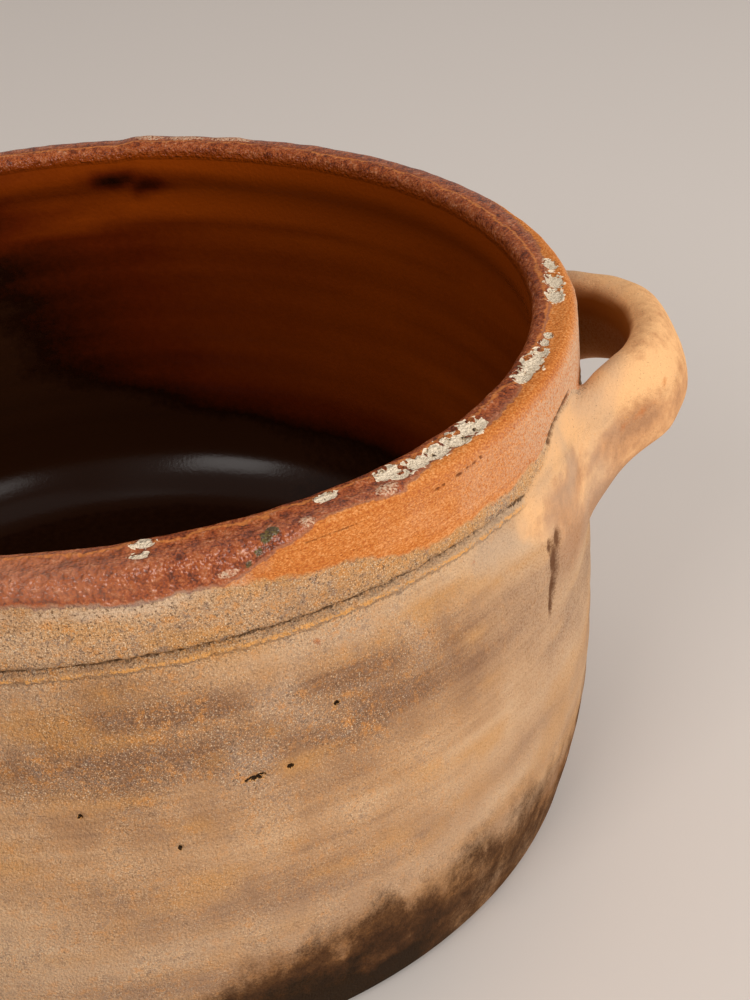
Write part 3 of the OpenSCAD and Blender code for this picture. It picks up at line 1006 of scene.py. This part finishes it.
def skinRelief(g):
    # a few nodes only, because a bump works each of them out three times
    grains = g.noise(g.point, 1.8, 2)
    lines = g.noise(g.stretch(g.point, 0.03, 0.7), 1.0, 2)
    rough = g.times(g.plus(g.times(grains, 0.55), g.times(lines, 0.2)), g.saved("roughSkin"))
    height = g.plus(rough, g.times(g.noise(g.point, 0.9, 1), g.saved("peelSkin")))
    return g.add("ShaderNodeBump", {"Height": height, "Distance": mm, "Strength": 1.0}).outputs[0]


def potMaterial():
    made = bpy.data.materials.new("potClayAndGlaze")
    made.use_nodes = True
    g = Board(made.node_tree)
    metres = g.add("ShaderNodeTexCoord").outputs["Object"]
    g.point = g.add("ShaderNodeVectorMath", {0: metres, "Scale": 1000.0}, operation="SCALE").outputs[0]
    g.small, g.grain, g.fleck = (g.noise(g.point, *noises[name]) for name in ("small", "grain", "fleck"))
    g.streaks = g.noise(g.stretch(g.point, 0.03, 0.7), 1.0, 2)
    g.fromGlazeEdge = g.shifted(g.saved("aboveGlazeEdge"), g.small, 2.6)
    g.glazed = g.fade(g.fromGlazeEdge, -0.25, 0.35)
    g.strap = g.fade(g.shifted(g.saved("strap"), g.small, 0.5), 0.2, 0.8)
    # where the pale bloom, the painted sheen and the painted highlight lie
    g.bloomed = g.times(g.saved("paleBloomAndSheen"), g.fade(g.grain, 0.7, 0.4))

    skin = bareClay(g)
    for layOver in (sootOver, grooveOver, handleOver, orangeOver, glazeOver):
        skin = layOver(g, skin)
    skin, unglazed = chipsOver(g, skin)
    shine = g.times(g.minus(g.glazed, unglazed), g.saved("gloss"))
    rough = g.add("ShaderNodeMapRange", {0: g.shifted(shine, g.grain, 0.3), 1: 0.0, 2: 1.0,
                                         3: gloss["matt"], 4: gloss["shiny"]}).outputs[0]
    relief = skinRelief(g)
    shader = made.node_tree.nodes["Principled BSDF"].inputs
    for name, value in (("Base Color", skin), ("Coat Weight", shine), ("Roughness", rough),
                        ("Normal", relief), ("Coat Normal", relief),
                        ("Coat Roughness", gloss["coatRoughness"]),
                        ("Specular IOR Level", gloss["specular"])):
        g.feed(shader[name], value)
    return made


print("painting")
potBody.data.materials.append(potMaterial())

view = {"place": (61.05, -346.21, 284.77), "yaw": 1.08, "pitch": 32.0, "roll": -2.47, "lens": 57.6}


def setCamera():
    yaw, pitch, roll = (math.radians(view[k]) for k in ("yaw", "pitch", "roll"))
    ahead = Vector((math.sin(yaw) * math.cos(pitch), math.cos(yaw) * math.cos(pitch), -math.sin(pitch)))
    right = Vector((math.cos(yaw), -math.sin(yaw), 0))
    up = right.cross(ahead)
    across = right * math.cos(roll) + up * math.sin(roll)
    upward = up * math.cos(roll) - right * math.sin(roll)
    turned = Matrix((across, upward, -ahead)).transposed()
    bpy.ops.object.camera_add()
    camera = bpy.context.object
    camera.name = "photoCamera"
    camera.matrix_world = Matrix.Translation(Vector(view["place"]) * mm) @ turned.to_4x4()
    camera.data.lens = view["lens"]
    camera.data.sensor_width = 36
    camera.data.clip_start, camera.data.clip_end = 0.01, 50
    bpy.context.scene.camera = camera


setCamera()

# Soft light from the right, and a little from the left and from above
lamps = {
    "window": {"at": (1.3, -0.9, 0.75), "size": 1.1, "watts": 22, "tint": (1, 0.98, 0.95)},
    "leftFill": {"at": (-0.85, -1.36, 1.24), "size": 0.8, "watts": 9.5, "tint": (1, 0.97, 0.94)},
    "overhead": {"at": (0.5, 0.5, 1.5), "size": 2.0, "watts": 5.5, "tint": (1, 0.98, 0.95)},
}
for name, lamp in lamps.items():
    bpy.ops.object.light_add(type="AREA", location=lamp["at"])
    light = bpy.context.object
    light.name = name
    light.data.size = lamp["size"]
    light.data.energy = lamp["watts"]
    light.data.color = lamp["tint"]
    light.rotation_euler = (-Vector(lamp["at"])).to_track_quat("-Z", "Y").to_euler()

room = {
    "air": (0.72, 0.68, 0.65, 1), "strength": 0.52,
    "floorSize": 12, "floor": (0.69, 0.63, 0.585, 1), "floorRoughness": 0.9,
}
world = bpy.data.worlds.new("paleRoom")
bpy.context.scene.world = world
world.use_nodes = True
background = world.node_tree.nodes["Background"].inputs
background["Color"].default_value = room["air"]
background["Strength"].default_value = room["strength"]

deselectAll()
bpy.ops.mesh.primitive_plane_add(size=room["floorSize"])
floor = bpy.context.object
floor.name = "paleFloor"
paleFloor = bpy.data.materials.new("paleFloor")
paleFloor.use_nodes = True
coating = paleFloor.node_tree.nodes["Principled BSDF"].inputs
coating["Base Color"].default_value = room["floor"]
coating["Roughness"].default_value = room["floorRoughness"]
floor.data.materials.append(paleFloor)

bpy.context.scene.view_settings.view_transform = "Standard"
